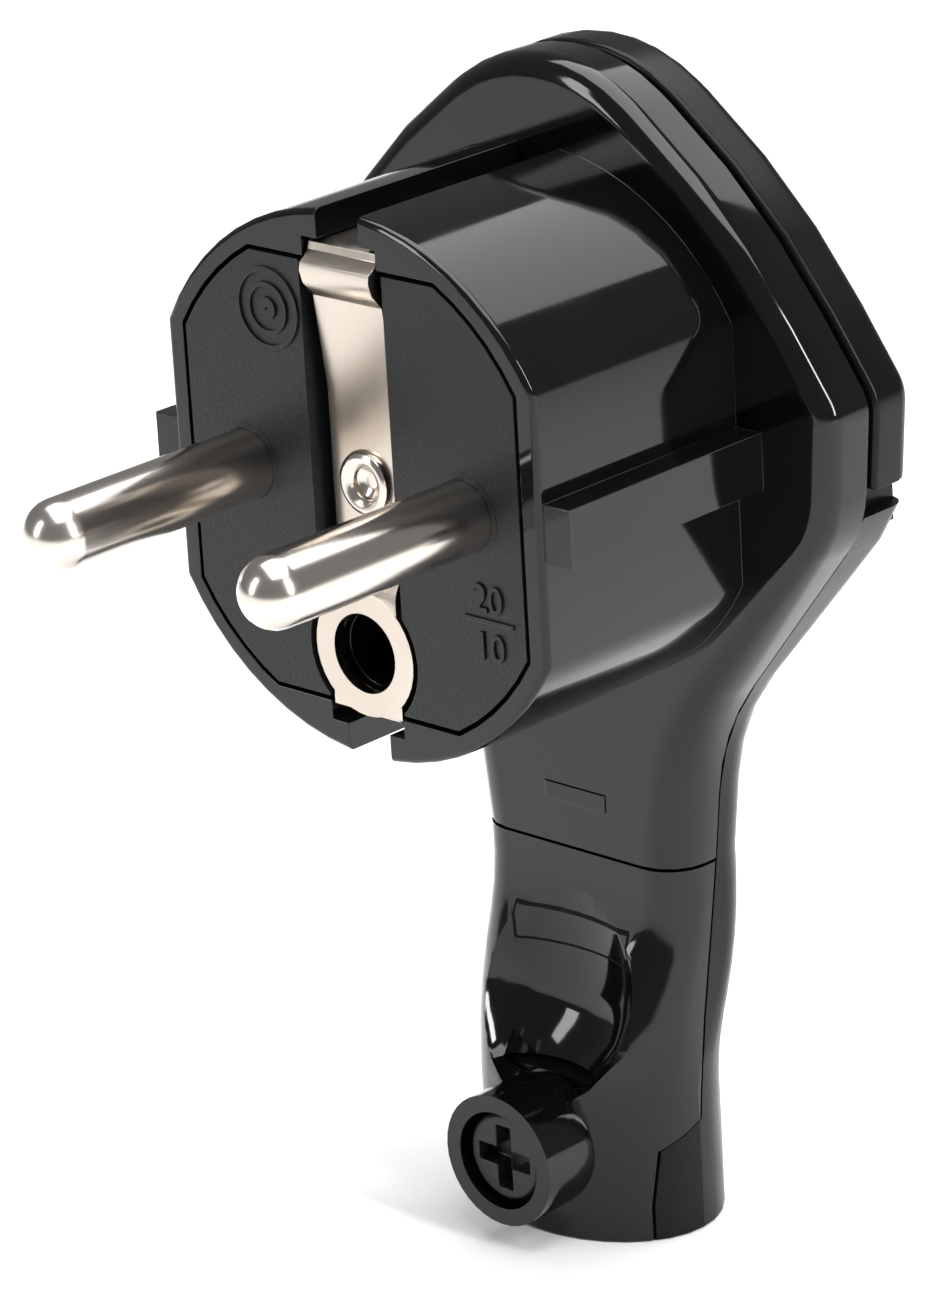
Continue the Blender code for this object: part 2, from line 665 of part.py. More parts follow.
def make_front_shell():
    outline = mirrored(flange_side(NECK_SEAM_Z - 2 * OVERSHOOT))
    shell = rounded_plate("front_plate", outline, FLANGE_DEPTH, PARTING_DEPTH, rim_round, lambda z: 0.0)
    body_outline = clipped_circle(BODY_RADIUS, BODY_FLAT, BODY_RADIUS)
    body = rounded_plate(
        "round_body",
        body_outline,
        0.0,
        FLANGE_DEPTH + WALL / 2,
        lambda z: BODY_EDGE,
        lambda z: 0.0,
    )
    ribs = box(
        "flank_ribs",
        (-RIB_REACH, RIB_SETBACK, -RIB_HEIGHT / 2),
        (RIB_REACH, FLANGE_DEPTH + WALL / 2, RIB_HEIGHT / 2),
    )
    inner = mirrored(flange_side(NECK_SEAM_Z - 2 * OVERSHOOT, WALL))
    room = extrusion("flange_room", inner, "Y", FLANGE_DEPTH + WALL, PARTING_DEPTH + OVERSHOOT)
    window_outline = clipped_circle(
        CARRIER_RADIUS + GAP, CARRIER_HALF_WIDTH + GAP, CARRIER_HALF_HEIGHT + GAP
    )
    window = extrusion("carrier_window", window_outline, "Y", -OVERSHOOT, PARTING_DEPTH + OVERSHOOT)
    pocket = box(
        "strap_pockets",
        (-POCKET_WIDTH / 2, -OVERSHOOT, -POCKET_TOP),
        (POCKET_WIDTH / 2, BODY_DEPTH, POCKET_TOP),
    )
    groove = box(
        "earth_grooves",
        (-GROOVE_WIDTH / 2, -OVERSHOOT, -BODY_RADIUS - OVERSHOOT),
        (GROOVE_WIDTH / 2, BODY_DEPTH, BODY_RADIUS + OVERSHOOT),
    )
    below = box(
        "neck_end",
        (-CHEEK_X, 0.0, NECK_SEAM_Z - 4 * OVERSHOOT),
        (CHEEK_X, HEEL_BACK + OVERSHOOT, NECK_SEAM_Z),
    )
    join(shell, body, ribs)
    cut(shell, room, window, pocket, groove, below)
    for side in (-1, 1):
        x = side * SHELL_SCREW_X
        foot = FLANGE_DEPTH + WALL * 0.6
        post = rod(
            f"screw_post_{side}",
            POST_DIAMETER,
            (x, foot, SHELL_SCREW_Z),
            (x, PARTING_DEPTH - GAP, SHELL_SCREW_Z),
        )
        pilot = rod(
            f"pilot_hole_{side}",
            SHELL_SCREW_DIAMETER + 2 * GAP,
            (x, FLANGE_DEPTH + WALL * 0.8, SHELL_SCREW_Z),
            (x, PARTING_DEPTH + OVERSHOOT, SHELL_SCREW_Z),
        )
        join(shell, post)
        cut(shell, pilot)
    return as_part(shell, "front_shell", PLASTIC_GLOSS)


def wire_duct(name):
    """Room for the cores behind the thumb scoop and up the neck."""
    outline = rectangle(DUCT_HALF_WIDTH, DUCT_FRONT, DUCT_BACK)
    return extrusion(name, outline, "Z", DUCT_LOW_Z, ROOM_LOW_Z + OVERSHOOT)


def cord_bore(name):
    return rod(
        name,
        INLET_DIAMETER,
        (0.0, INLET_DEPTH, -PIN_AXIS_HEIGHT - OVERSHOOT),
        (0.0, INLET_DEPTH, INLET_TOP_Z),
        along="Z",
        segments=ROUND_SEGMENTS,
    )


def make_rear_shell():
    shell = stem_solid("rear_stem")
    front_side = seam_side("front_of_seam", SEAM_GAP / 2, LEDGE_Z + OVERSHOOT)
    cut(shell, front_side)
    plateau_outline = mirrored(flange_side(LEDGE_Z - OVERSHOOT, BAR_WIDTH + HANDLE_GAP))
    plateau = rounded_plate(
        "plateau",
        plateau_outline,
        PARTING_DEPTH - WALL / 2,
        PLATEAU_BACK,
        lambda z: 0.0,
        lambda z: PLATEAU_EDGE,
    )
    cheek_half = EAR_INNER - GAP
    cheeks = box(
        "hinge_cheeks",
        (-cheek_half, PARTING_DEPTH + SEAM_GAP, LEDGE_Z - OVERSHOOT / 2),
        (cheek_half, HANDLE_BACK, CHEEK_BLOCK_TOP),
    )
    spigot_outline = mirrored(flange_side(NECK_SEAM_Z + OVERSHOOT, WALL + GAP))
    spigot = extrusion("spigot", spigot_outline, "Y", PARTING_DEPTH - WALL * 0.8, PARTING_DEPTH + SEAM_GAP)
    bridge = box(
        "nut_block",
        (-BLOCK_HALF_WIDTH, BLOCK_FRONT, BLOCK_LOW_Z),
        (BLOCK_HALF_WIDTH, INLET_DEPTH, BLOCK_TOP_Z),
    )
    join(shell, cheeks, plateau, spigot, bridge)

    seat_outline = clipped_circle(
        CARRIER_RADIUS + GAP, CARRIER_HALF_WIDTH + TAB_REACH + GAP, CARRIER_HALF_HEIGHT + TAB_REACH + GAP
    )
    seat = extrusion("carrier_seat", seat_outline, "Y", FLANGE_DEPTH, CARRIER_DEPTH + GAP)
    room = extrusion(
        "wire_room", rectangle(ROOM_HALF_WIDTH, ROOM_LOW_Z, ROOM_TOP_Z), "Y", FLANGE_DEPTH, ROOM_BACK
    )
    notch = box(
        "finger_notch",
        (-NOTCH_WIDTH / 2, PARTING_DEPTH + SEAM_GAP, NOTCH_LOW_Z),
        (NOTCH_WIDTH / 2, HEEL_BACK + OVERSHOOT, CROWN_HEIGHT),
    )
    bearing = rod(
        "trunnion_bearings",
        TRUNNION_DIAMETER + 2 * GAP,
        (-CHEEK_X, PIVOT_DEPTH, PIVOT_Z),
        (CHEEK_X, PIVOT_DEPTH, PIVOT_Z),
        along="X",
    )
    core = box(
        "bearing_core",
        (-EAR_INNER + TRUNNION_LENGTH + GAP, PIVOT_DEPTH - OVERSHOOT, PIVOT_Z - OVERSHOOT),
        (EAR_INNER - TRUNNION_LENGTH - GAP, PIVOT_DEPTH + OVERSHOOT, PIVOT_Z + OVERSHOOT),
    )
    cut(bearing, core)
    saddle_recess = box(
        "saddle_recess",
        (-SADDLE_WIDTH / 2 - GAP, CLAMP_TIP_DEPTH, CLAMP_AXIS_Z - SADDLE_HEIGHT / 2 - GAP),
        (SADDLE_WIDTH / 2 + GAP, INLET_DEPTH, CLAMP_AXIS_Z + SADDLE_HEIGHT / 2 + GAP),
    )
    nut_half = NUT_SIZE / 2 + GAP
    nut_pocket = box(
        "nut_pocket",
        (-nut_half, BLOCK_FRONT - OVERSHOOT, CLAMP_AXIS_Z - nut_half),
        (nut_half, BLOCK_FRONT + NUT_THICKNESS + GAP, CLAMP_AXIS_Z + nut_half),
    )
    screw_way = rod(
        "clamp_screw_way",
        CLAMP_SHANK_DIAMETER + 2 * GAP,
        (0.0, BLOCK_FRONT - OVERSHOOT, CLAMP_AXIS_Z),
        (0.0, INLET_DEPTH, CLAMP_AXIS_Z),
    )
    cut(shell, seat, room, wire_duct("rear_duct"), cord_bore("rear_bore"), notch, bearing)
    cut(shell, saddle_recess, nut_pocket, screw_way)
    for side in (-1, 1):
        x = side * SHELL_SCREW_X
        head_seat = HEEL_BACK - SCREW_HEAD_DEPTH - GAP
        counterbore = rod(
            f"head_recess_{side}",
            SHELL_SCREW_HEAD + 2 * GAP,
            (x, head_seat, SHELL_SCREW_Z),
            (x, HEEL_BACK + OVERSHOOT, SHELL_SCREW_Z),
        )
        way = rod(
            f"shell_screw_way_{side}",
            SHELL_SCREW_DIAMETER + 2 * GAP,
            (x, FLANGE_DEPTH, SHELL_SCREW_Z),
            (x, HEEL_BACK, SHELL_SCREW_Z),
        )
        post_way = rod(
            f"post_way_{side}",
            POST_DIAMETER + 2 * GAP,
            (x, FLANGE_DEPTH, SHELL_SCREW_Z),
            (x, PARTING_DEPTH, SHELL_SCREW_Z),
        )
        cut(shell, counterbore, way, post_way)
    return as_part(shell, "rear_shell", PLASTIC_SEMI)


def make_clamp_cover():
    cover = stem_solid("cover_stem")
    keep(cover, seam_side("cover_side_of_seam", -SEAM_GAP / 2, NECK_SEAM_Z - SEAM_GAP))
    collar = rod(
        "collar",
        COLLAR_DIAMETER,
        (0.0, COLLAR_FRONT, CLAMP_AXIS_Z),
        (0.0, BLOCK_FRONT + GAP, CLAMP_AXIS_Z),
        segments=ROUND_SEGMENTS,
    )
    tongue = box(
        "cover_tongue",
        (-NECK_HALF_WIDTH / 2, FLANGE_DEPTH + WALL + GAP, NECK_SEAM_Z - OVERSHOOT),
        (NECK_HALF_WIDTH / 2, PARTING_DEPTH - 2 * GAP, NECK_SEAM_Z + OVERSHOOT),
    )
    cut(cover, thumb_scoop("scoop"))
    duct = wire_duct("cover_duct")
    block_recess = box(
        "block_recess",
        (-BLOCK_HALF_WIDTH - GAP, BLOCK_FRONT - GAP, BLOCK_LOW_Z - GAP),
        (BLOCK_HALF_WIDTH + GAP, INLET_DEPTH, BLOCK_TOP_Z + GAP),
    )
    head_recess = rod(
        "clamp_head_recess",
        COLLAR_BORE,
        (0.0, COLLAR_FRONT - OVERSHOOT, CLAMP_AXIS_Z),
        (0.0, COLLAR_SEAT, CLAMP_AXIS_Z),
        segments=ROUND_SEGMENTS,
    )
    shank_way = rod(
        "cover_shank_way",
        CLAMP_SHANK_DIAMETER + 2 * GAP,
        (0.0, COLLAR_FRONT, CLAMP_AXIS_Z),
        (0.0, INLET_DEPTH, CLAMP_AXIS_Z),
    )
    join(cover, collar)
    cut(cover, duct, cord_bore("cover_bore"), block_recess, head_recess, shank_way)
    join(cover, tongue)
    return as_part(cover, "clamp_cover", PLASTIC_GLOSS)


def make_pull_handle():
    """The bail: the flange's outline, two thin ears at its foot and a trunnion on each ear."""
    hinge = bpy.data.objects.new("handle_hinge", None)
    parts.objects.link(hinge)
    hinge.parent = datum
    hinge.location = (0.0, PIVOT_DEPTH, PIVOT_Z)
    outline = mirrored(flange_side(HANDLE_FOOT_Z))
    handle = rounded_plate(
        "bail",
        outline,
        HANDLE_FRONT,
        HANDLE_BACK,
        lambda z: HANDLE_FRONT_ROUND,
        lambda z: HANDLE_BACK_ROUND,
    )
    window_outline = mirrored(flange_side(HANDLE_FOOT_Z - OVERSHOOT, BAR_WIDTH))
    window = extrusion("bail_window", window_outline, "Y", HANDLE_FRONT - OVERSHOOT, HANDLE_BACK + OVERSHOOT)
    between_ears = box(
        "between_ears",
        (-EAR_INNER, HANDLE_FRONT - OVERSHOOT, HANDLE_FOOT_Z - OVERSHOOT),
        (EAR_INNER, HANDLE_BACK + OVERSHOOT, EAR_TOP_Z),
    )
    cut(handle, window, between_ears)
    for side in (-1, 1):
        trunnion = rod(
            f"trunnion_{side}",
            TRUNNION_DIAMETER,
            (side * (EAR_INNER - TRUNNION_LENGTH), PIVOT_DEPTH, PIVOT_Z),
            (side * (EAR_INNER + TRUNNION_ROOT), PIVOT_DEPTH, PIVOT_Z),
            along="X",
        )
        join(handle, trunnion)
    as_part(handle, "pull_handle", PLASTIC_SEMI)
    handle.data.transform(Matrix.Translation((0.0, -PIVOT_DEPTH, -PIVOT_Z)))
    handle.parent = hinge
    return handle


# Contacts


def make_contact_carrier():
    outline = clipped_circle(CARRIER_RADIUS, CARRIER_HALF_WIDTH, CARRIER_HALF_HEIGHT)
    carrier = extrusion("carrier_block", outline, "Y", 0.0, CARRIER_DEPTH)
    inner = moved_in(outline, [THIN_WALL] * len(outline))
    hollow = extrusion("carrier_hollow", inner, "Y", CARRIER_PLATE, CARRIER_DEPTH + OVERSHOOT)
    spine = box(
        "channel_spine",
        (-CHANNEL_WIDTH / 2 - THIN_WALL, CARRIER_PLATE / 2, -CARRIER_HALF_HEIGHT + THIN_WALL / 2),
        (CHANNEL_WIDTH / 2 + THIN_WALL, CHANNEL_DEPTH + THIN_WALL, CARRIER_HALF_HEIGHT - THIN_WALL / 2),
    )
    cut(carrier, hollow)
    join(carrier, spine)
    for side in (-1, 1):
        x = side * PIN_SPACING / 2
        tube = rod(
            f"pin_tube_{side}",
            PIN_DIAMETER + 2 * (GAP + TUBE_WALL),
            (x, CARRIER_PLATE / 2, 0.0),
            (x, TUBE_DEPTH, 0.0),
            segments=ROUND_SEGMENTS,
        )
        ends = sorted((side * (CARRIER_HALF_WIDTH + TAB_REACH), side * (CARRIER_HALF_WIDTH - THIN_WALL / 2)))
        tab = box(
            f"side_tab_{side}",
            (ends[0], CARRIER_DEPTH - TAB_DEPTH, TAB_LOW_Z),
            (ends[1], CARRIER_DEPTH, TAB_HIGH_Z),
        )
        join(carrier, tube, tab)
    contact_tube = rod(
        "contact_tube",
        contact_outer() + 2 * (GAP + TUBE_WALL * 0.7),
        (0.0, CARRIER_PLATE / 2, EARTH_HOLE_Z),
        (0.0, SPRING_DEPTH, EARTH_HOLE_Z),
        segments=ROUND_SEGMENTS,
    )
    join(carrier, contact_tube)
    for side in (-1, 1):
        x = side * PIN_SPACING / 2
        bore = rod(
            f"pin_bore_{side}",
            PIN_DIAMETER + 2 * GAP,
            (x, -OVERSHOOT, 0.0),
            (x, TUBE_DEPTH + OVERSHOOT, 0.0),
            segments=ROUND_SEGMENTS,
        )
        cut(carrier, bore)
    channel = box(
        "strap_channel",
        (-CHANNEL_WIDTH / 2, -OVERSHOOT, EARTH_HOLE_Z + RING_DIAMETER / 2 + GAP),
        (CHANNEL_WIDTH / 2, CHANNEL_DEPTH, CARRIER_HALF_HEIGHT + OVERSHOOT),
    )
    ring_recess = rod(
        "ring_recess",
        RING_DIAMETER + 3 * GAP,
        (0.0, -OVERSHOOT, EARTH_HOLE_Z),
        (0.0, RING_RECESS, EARTH_HOLE_Z),
        segments=ROUND_SEGMENTS,
    )
    tab_recess = box(
        "tab_recess",
        (-STRAP_WIDTH / 2 - GAP, -OVERSHOOT, -CARRIER_HALF_HEIGHT - OVERSHOOT),
        (STRAP_WIDTH / 2 + GAP, RING_RECESS, EARTH_HOLE_Z),
    )
    leg_way = box(
        "leg_way",
        (-STRAP_WIDTH / 2 - GAP, -OVERSHOOT, -CARRIER_HALF_HEIGHT - OVERSHOOT),
        (STRAP_WIDTH / 2 + GAP, CARRIER_DEPTH + OVERSHOOT, TAB_END_Z + STRAP_THICKNESS + GAP),
    )
    joggle_recess = box(
        "joggle_recess",
        (-CHANNEL_WIDTH / 2, -OVERSHOOT, EARTH_HOLE_Z),
        (CHANNEL_WIDTH / 2, RING_RECESS, EARTH_HOLE_Z + RING_DIAMETER / 2 + 2 * GAP),
    )
    contact_bore = rod(
        "contact_bore",
        contact_outer() + 2 * GAP,
        (0.0, -OVERSHOOT, EARTH_HOLE_Z),
        (0.0, SPRING_DEPTH + OVERSHOOT, EARTH_HOLE_Z),
        segments=ROUND_SEGMENTS,
    )
    rivet_way = rod(
        "rivet_way",
        RIVET_SHANK_DIAMETER + 2 * GAP,
        (0.0, 0.0, RIVET_Z),
        (0.0, TUBE_DEPTH, RIVET_Z),
    )
    cut(carrier, channel, ring_recess, tab_recess, leg_way, joggle_recess, contact_bore, rivet_way)
    return as_part(carrier, "contact_carrier", PLASTIC_FACE)


def contact_outer():
    """Outside diameter of the sleeve and of the contact tube behind it."""
    return SLEEVE_BORE + 4 * SPRING_WALL


def make_pin(name, side):
    """A deep-drawn pin with a round nose, drilled from behind, on its terminal head."""
    radius = PIN_DIAMETER / 2
    head_front = TUBE_DEPTH + GAP
    nose = []
    for step in range(7):
        angle = math.pi / 2 * step / 6
        nose.append((radius * math.cos(angle), -PIN_LENGTH + radius * (1 - math.sin(angle))))
    profile = [(0.0, head_front + GAP), (radius, head_front + GAP)] + nose[:-1] + [(0.0, -PIN_LENGTH)]
    pin = turned(f"{name}_shank", profile, side * PIN_SPACING / 2, 0.0, segments=28)
    x = side * PIN_SPACING / 2
    head = box(
        f"{name}_head",
        (x - HEAD_WIDTH / 2, head_front, -HEAD_HEIGHT / 2),
        (x + HEAD_WIDTH / 2, head_front + HEAD_DEPTH, HEAD_HEIGHT / 2),
    )
    wire_z = HEAD_HEIGHT / 2 + OVERSHOOT
    wire_y = head_front + WIRE_HOLE * 0.8
    bore = rod(f"{name}_bore", PIN_BORE, (x, -PIN_LENGTH + PIN_NOSE, 0.0), (x, wire_y, 0.0))
    wire = rod(f"{name}_wire_hole", WIRE_HOLE, (x, wire_y, -wire_z), (x, wire_y, wire_z), along="Z")
    screw_way = rod(
        f"{name}_screw_way",
        TERMINAL_SCREW_DIAMETER + 2 * GAP,
        (x, wire_y, 0.0),
        (x, head_front + HEAD_DEPTH + OVERSHOOT, 0.0),
    )
    join(pin, head)
    cut(pin, bore, wire, screw_way)
    return as_part(pin, name, NICKEL)


def slotted(name, profile, x, z, width, back, finish):
    """Cuts a driver slot in the rear end of a turned screw."""
    screw = turned(f"{name}_blank", profile, x, z, segments=SMALL_SEGMENTS)
    slot = box(
        f"{name}_slot",
        (x - width, back - SLOT_DEPTH, z - width * SLOT_SHARE),
        (x + width, back + OVERSHOOT, z + width * SLOT_SHARE),
    )
    cut(screw, slot)
    return as_part(screw, name, finish)


def grub_screw(name, x, z, back, length):
    """A headless terminal screw, just below the back of its block."""
    radius = TERMINAL_SCREW_DIAMETER / 2
    profile = [(0.0, back), (radius, back), (radius, back - length), (0.0, back - length)]
    return slotted(name, profile, x, z, radius * 2, back, STEEL)


def shell_screw(name, x):
    """A pan-head screw driven from the back into a post of the front shell."""
    back, seat = HEEL_BACK - GAP, HEEL_BACK - SCREW_HEAD_DEPTH
    head, shank = SHELL_SCREW_HEAD / 2, SHELL_SCREW_DIAMETER / 2
    profile = [
        (0.0, back),
        (head, back),
        (head, seat),
        (shank, seat),
        (shank, seat - SHELL_SCREW_LENGTH),
        (0.0, seat - SHELL_SCREW_LENGTH),
    ]
    return slotted(name, profile, x, SHELL_SCREW_Z, head * 2, back, STEEL)


def strip_outline(path, thickness):
    """Closed (depth, height) outline of a bent strip, whose inner face is kept free of loops at tight bends."""
    outer = [Vector(point) for point in path]
    inner = []
    for i, point in enumerate(outer):
        before = outer[i - 1] if i else None
        after = outer[i + 1] if i + 1 < len(outer) else None
        into = (point - before).normalized() if before else (after - point).normalized()
        out = (after - point).normalized() if after else into
        normal = Vector((-into.y - out.y, into.x + out.x)).normalized()
        mitre = max(0.5, normal.dot(Vector((-into.y, into.x))))
        place = point + normal * thickness / mitre
        if not inner or (place - inner[-1]).dot(into) > 0:
            inner.append(place)
    return outer + inner[::-1]


def make_earth_strap():
    """Bent strip: rear leg, bead, bar, joggle, ring plate, tab and lower leg."""
    bead = [(depth, LEG_TOP_Z - down) for depth, down in BEAD_CORNERS]
    tab = [(TAB_FACE, TAB_END_Z + TAB_BEND), (TAB_FACE + TAB_BEND, TAB_END_Z)]
    outer_path = [(STRAP_LEG, LEG_TOP_Z), *bead, (STRAP_FACE, BAR_TOP_Z), *JOGGLE_CORNERS]
    outer_path += [*tab, (STRAP_LEG, TAB_END_Z)]
    half = STRAP_WIDTH / 2
    strap = extrusion("strap_strip", strip_outline(outer_path, STRAP_THICKNESS), "X", -half, half)
    disc = rod(
        "ring_disc",
        RING_DIAMETER,
        (0.0, TAB_FACE - RING_PROUD, EARTH_HOLE_Z),
        (0.0, TAB_FACE + STRAP_THICKNESS + RING_PROUD, EARTH_HOLE_Z),
        segments=ROUND_SEGMENTS,
    )
    hole = rod(
        "ring_hole",
        EARTH_HOLE_DIAMETER,
        (0.0, -OVERSHOOT, EARTH_HOLE_Z),
        (0.0, OVERSHOOT, EARTH_HOLE_Z),
        segments=ROUND_SEGMENTS,
    )
    rivet_hole = rod(
        "rivet_hole",
        RIVET_SHANK_DIAMETER + 2 * GAP,
        (0.0, -OVERSHOOT, RIVET_Z),
        (0.0, OVERSHOOT, RIVET_Z),
    )
    join(strap, disc)
    cut(strap, hole, rivet_hole)
    return as_part(strap, "earth_strap", NICKEL)


def make_strap_rivet():
    """Tubular rivet through the strap, the carrier and the earth terminal's plate."""
    shank, bore = RIVET_SHANK_DIAMETER / 2, RIVET_BORE / 2
    rim = RIVET_RIM_DIAMETER / 2
    rim_back = STRAP_FACE - RIVET_SEAT
    tail = CHANNEL_DEPTH + THIN_WALL + 2 * GAP + EARTH_PLATE
    profile = [
        (bore, tail + RIVET_TAIL),
        (rim, tail + RIVET_TAIL),
        (rim, tail + GAP / 2),
        (shank, tail + GAP / 2),
        (shank, rim_back),
        (rim, rim_back),
        (rim - RIVET_ROLL, RIVET_FACE - RIVET_ROLL * 0.7),
        (rim - 3 * RIVET_ROLL, RIVET_FACE - RIVET_ROLL * 1.7),
        (bore + 2 * RIVET_ROLL, RIVET_FACE - RIVET_ROLL),
        (bore, RIVET_FACE + RIVET_ROLL),
    ]
    rivet = turned("rivet_blank", profile, 0.0, RIVET_Z, closed=True, segments=24)
    return as_part(rivet, "strap_rivet", NICKEL)


def make_earth_sleeve():
    """Black sleeve in the ring, which guides the socket's earth pin into the contact tube."""
    front = RING_RECESS + GAP / 2
    sleeve = ring("sleeve", contact_outer(), SLEEVE_BORE, front, front + SLEEVE_DEPTH, 0.0, EARTH_HOLE_Z)
    return as_part(sleeve, "earth_sleeve", PLASTIC_SEMI)


def make_earth_spring():
    """Slotted contact tube behind the sleeve."""
    front = RING_RECESS + SLEEVE_DEPTH + 2 * GAP
    outer = contact_outer()
    tube = ring("contact_tube_blank", outer, SLEEVE_BORE, front, SPRING_DEPTH, 0.0, EARTH_HOLE_Z)
    slit = box(
        "contact_slit",
        (-outer, front + 2 * SLIT_WIDTH, EARTH_HOLE_Z - SLIT_WIDTH / 2),
        (outer, SPRING_DEPTH + OVERSHOOT, EARTH_HOLE_Z + SLIT_WIDTH / 2),
    )
    cut(tube, slit)
    return as_part(tube, "earth_spring", NICKEL)


def make_earth_terminal():
    """Plate under the rivet's tail, a web back along the top, and the clamping block on its end."""
    plate_front = CHANNEL_DEPTH + THIN_WALL + GAP
    half, web_half = EARTH_BLOCK_WIDTH / 2, EARTH_WEB_WIDTH / 2
    plate_half = web_half * 1.3
    top = EARTH_BLOCK_LOW_Z + EARTH_BLOCK_HEIGHT
    plate_low = RIVET_Z - RIVET_RIM_DIAMETER / 2 - GAP
    terminal = box(
        "terminal_plate",
        (-plate_half, plate_front, plate_low),
        (plate_half, plate_front + EARTH_PLATE, top),
    )
    web = box(
        "terminal_web",
        (-web_half, plate_front + EARTH_PLATE / 2, top - 1.5 * EARTH_PLATE),
        (web_half, EARTH_BLOCK_FRONT + EARTH_PLATE, top - EARTH_PLATE / 2),
    )
    block = box(
        "terminal_block",
        (-half, EARTH_BLOCK_FRONT, EARTH_BLOCK_LOW_Z),
        (half, EARTH_BLOCK_BACK, top),
    )
    middle_z = (EARTH_BLOCK_LOW_Z + top) / 2
    wire_y = EARTH_BLOCK_FRONT + WIRE_HOLE * 0.8
    wire = rod(
        "earth_wire_hole",
        WIRE_HOLE,
        (0.0, wire_y, EARTH_BLOCK_LOW_Z - OVERSHOOT),
        (0.0, wire_y, top + OVERSHOOT),
        along="Z",
    )
    way = rod(
        "earth_screw_way",
        TERMINAL_SCREW_DIAMETER + 2 * GAP,
        (0.0, wire_y, middle_z),
        (0.0, EARTH_BLOCK_BACK + OVERSHOOT, middle_z),
    )
    rivet_way = rod(
        "terminal_rivet_hole",
        RIVET_SHANK_DIAMETER + 2 * GAP,
        (0.0, plate_front - OVERSHOOT, RIVET_Z),
        (0.0, plate_front + OVERSHOOT, RIVET_Z),
    )
    join(terminal, web, block)
    cut(terminal, wire, way, rivet_way)
    return as_part(terminal, "earth_terminal", BRASS)


# Cord clamp and screws


def make_clamp_screw():
    """The large cross-recess screw in the collar."""
    head_front = COLLAR_SEAT - GAP - CLAMP_HEAD_DEPTH
    profile = [
        (0.0, CLAMP_TIP_DEPTH - GAP),
        (CLAMP_SHANK_DIAMETER / 2, CLAMP_TIP_DEPTH - GAP),
        (CLAMP_SHANK_DIAMETER / 2, COLLAR_SEAT - GAP),
        (CLAMP_HEAD_DIAMETER / 2, COLLAR_SEAT - GAP),
        (CLAMP_HEAD_DIAMETER / 2, head_front + CLAMP_HEAD_EDGE),
        (CLAMP_HEAD_DIAMETER / 2 - CLAMP_HEAD_EDGE, head_front),
        (0.0, head_front),
    ]
    screw = turned("clamp_screw_blank", profile, 0.0, CLAMP_AXIS_Z)
    span, half = CROSS_SPAN / 2, CROSS_WIDTH / 2
    for name, half_x, half_z in (("level", span, half), ("upright", half, span)):
        slot = box(
            f"cross_{name}",
            (-half_x, head_front - OVERSHOOT, CLAMP_AXIS_Z - half_z),
            (half_x, head_front + CROSS_DEPTH, CLAMP_AXIS_Z + half_z),
        )
        cut(screw, slot)
    return as_part(screw, "clamp_screw", BLACK_STEEL)


def make_clamp_nut():
    half = NUT_SIZE / 2
    front = BLOCK_FRONT + GAP / 2
    nut = box(
        "nut_blank",
        (-half, front, CLAMP_AXIS_Z - half),
        (half, front + NUT_THICKNESS, CLAMP_AXIS_Z + half),
    )
    way = rod(
        "nut_thread",
        CLAMP_SHANK_DIAMETER + 2 * GAP,
        (0.0, front - OVERSHOOT, CLAMP_AXIS_Z),
        (0.0, front + OVERSHOOT, CLAMP_AXIS_Z),
    )
    cut(nut, way)
    return as_part(nut, "clamp_nut", STEEL)


def make_cable_clamp():
    """The saddle that the clamp screw presses on the cord."""
    half, tall = SADDLE_WIDTH / 2, SADDLE_HEIGHT / 2
    front = CLAMP_TIP_DEPTH + GAP / 2
    saddle = box(
        "saddle_blank",
        (-half, front, CLAMP_AXIS_Z - tall),
        (half, front + SADDLE_THICKNESS, CLAMP_AXIS_Z + tall),
    )
    hollow = rod(
        "saddle_hollow",
        INLET_DIAMETER,
        (0.0, front + SADDLE_THICKNESS * 0.6 + INLET_DIAMETER / 2, CLAMP_AXIS_Z - 2 * tall),
        (0.0, front + SADDLE_THICKNESS * 0.6 + INLET_DIAMETER / 2, CLAMP_AXIS_Z + 2 * tall),
        along="Z",
        segments=ROUND_SEGMENTS,
    )
    cut(saddle, hollow)
    return as_part(saddle, "cable_clamp", STEEL)


def make_screws():
    pin_back = TUBE_DEPTH + GAP + HEAD_DEPTH - GAP / 2
    grub_screw("terminal_screw_left", -PIN_SPACING / 2, 0.0, pin_back, PIN_SCREW_LENGTH)
    grub_screw("terminal_screw_right", PIN_SPACING / 2, 0.0, pin_back, PIN_SCREW_LENGTH)
    earth_z = EARTH_BLOCK_LOW_Z + EARTH_BLOCK_HEIGHT / 2
    grub_screw("earth_terminal_screw", 0.0, earth_z, EARTH_BLOCK_BACK - GAP / 2, EARTH_SCREW_LENGTH)
    shell_screw("shell_screw_left", -SHELL_SCREW_X)
    shell_screw("shell_screw_right", SHELL_SCREW_X)


clear_scene()
parts = new_collection("flat_schuko_plug")
tools = new_collection("cutters")
datum = bpy.data.objects.new("plug_datum", None)
datum.location = (0.0, FACE_Y, PIN_AXIS_HEIGHT)
parts.objects.link(datum)

make_front_shell()
make_rear_shell()
make_clamp_cover()
make_pull_handle()
make_contact_carrier()
make_pin("pin_left", -1)
make_pin("pin_right", 1)
make_earth_strap()
make_strap_rivet()
make_earth_sleeve()
make_earth_spring()
make_earth_terminal()
make_clamp_screw()
make_clamp_nut()
make_cable_clamp()
make_screws()
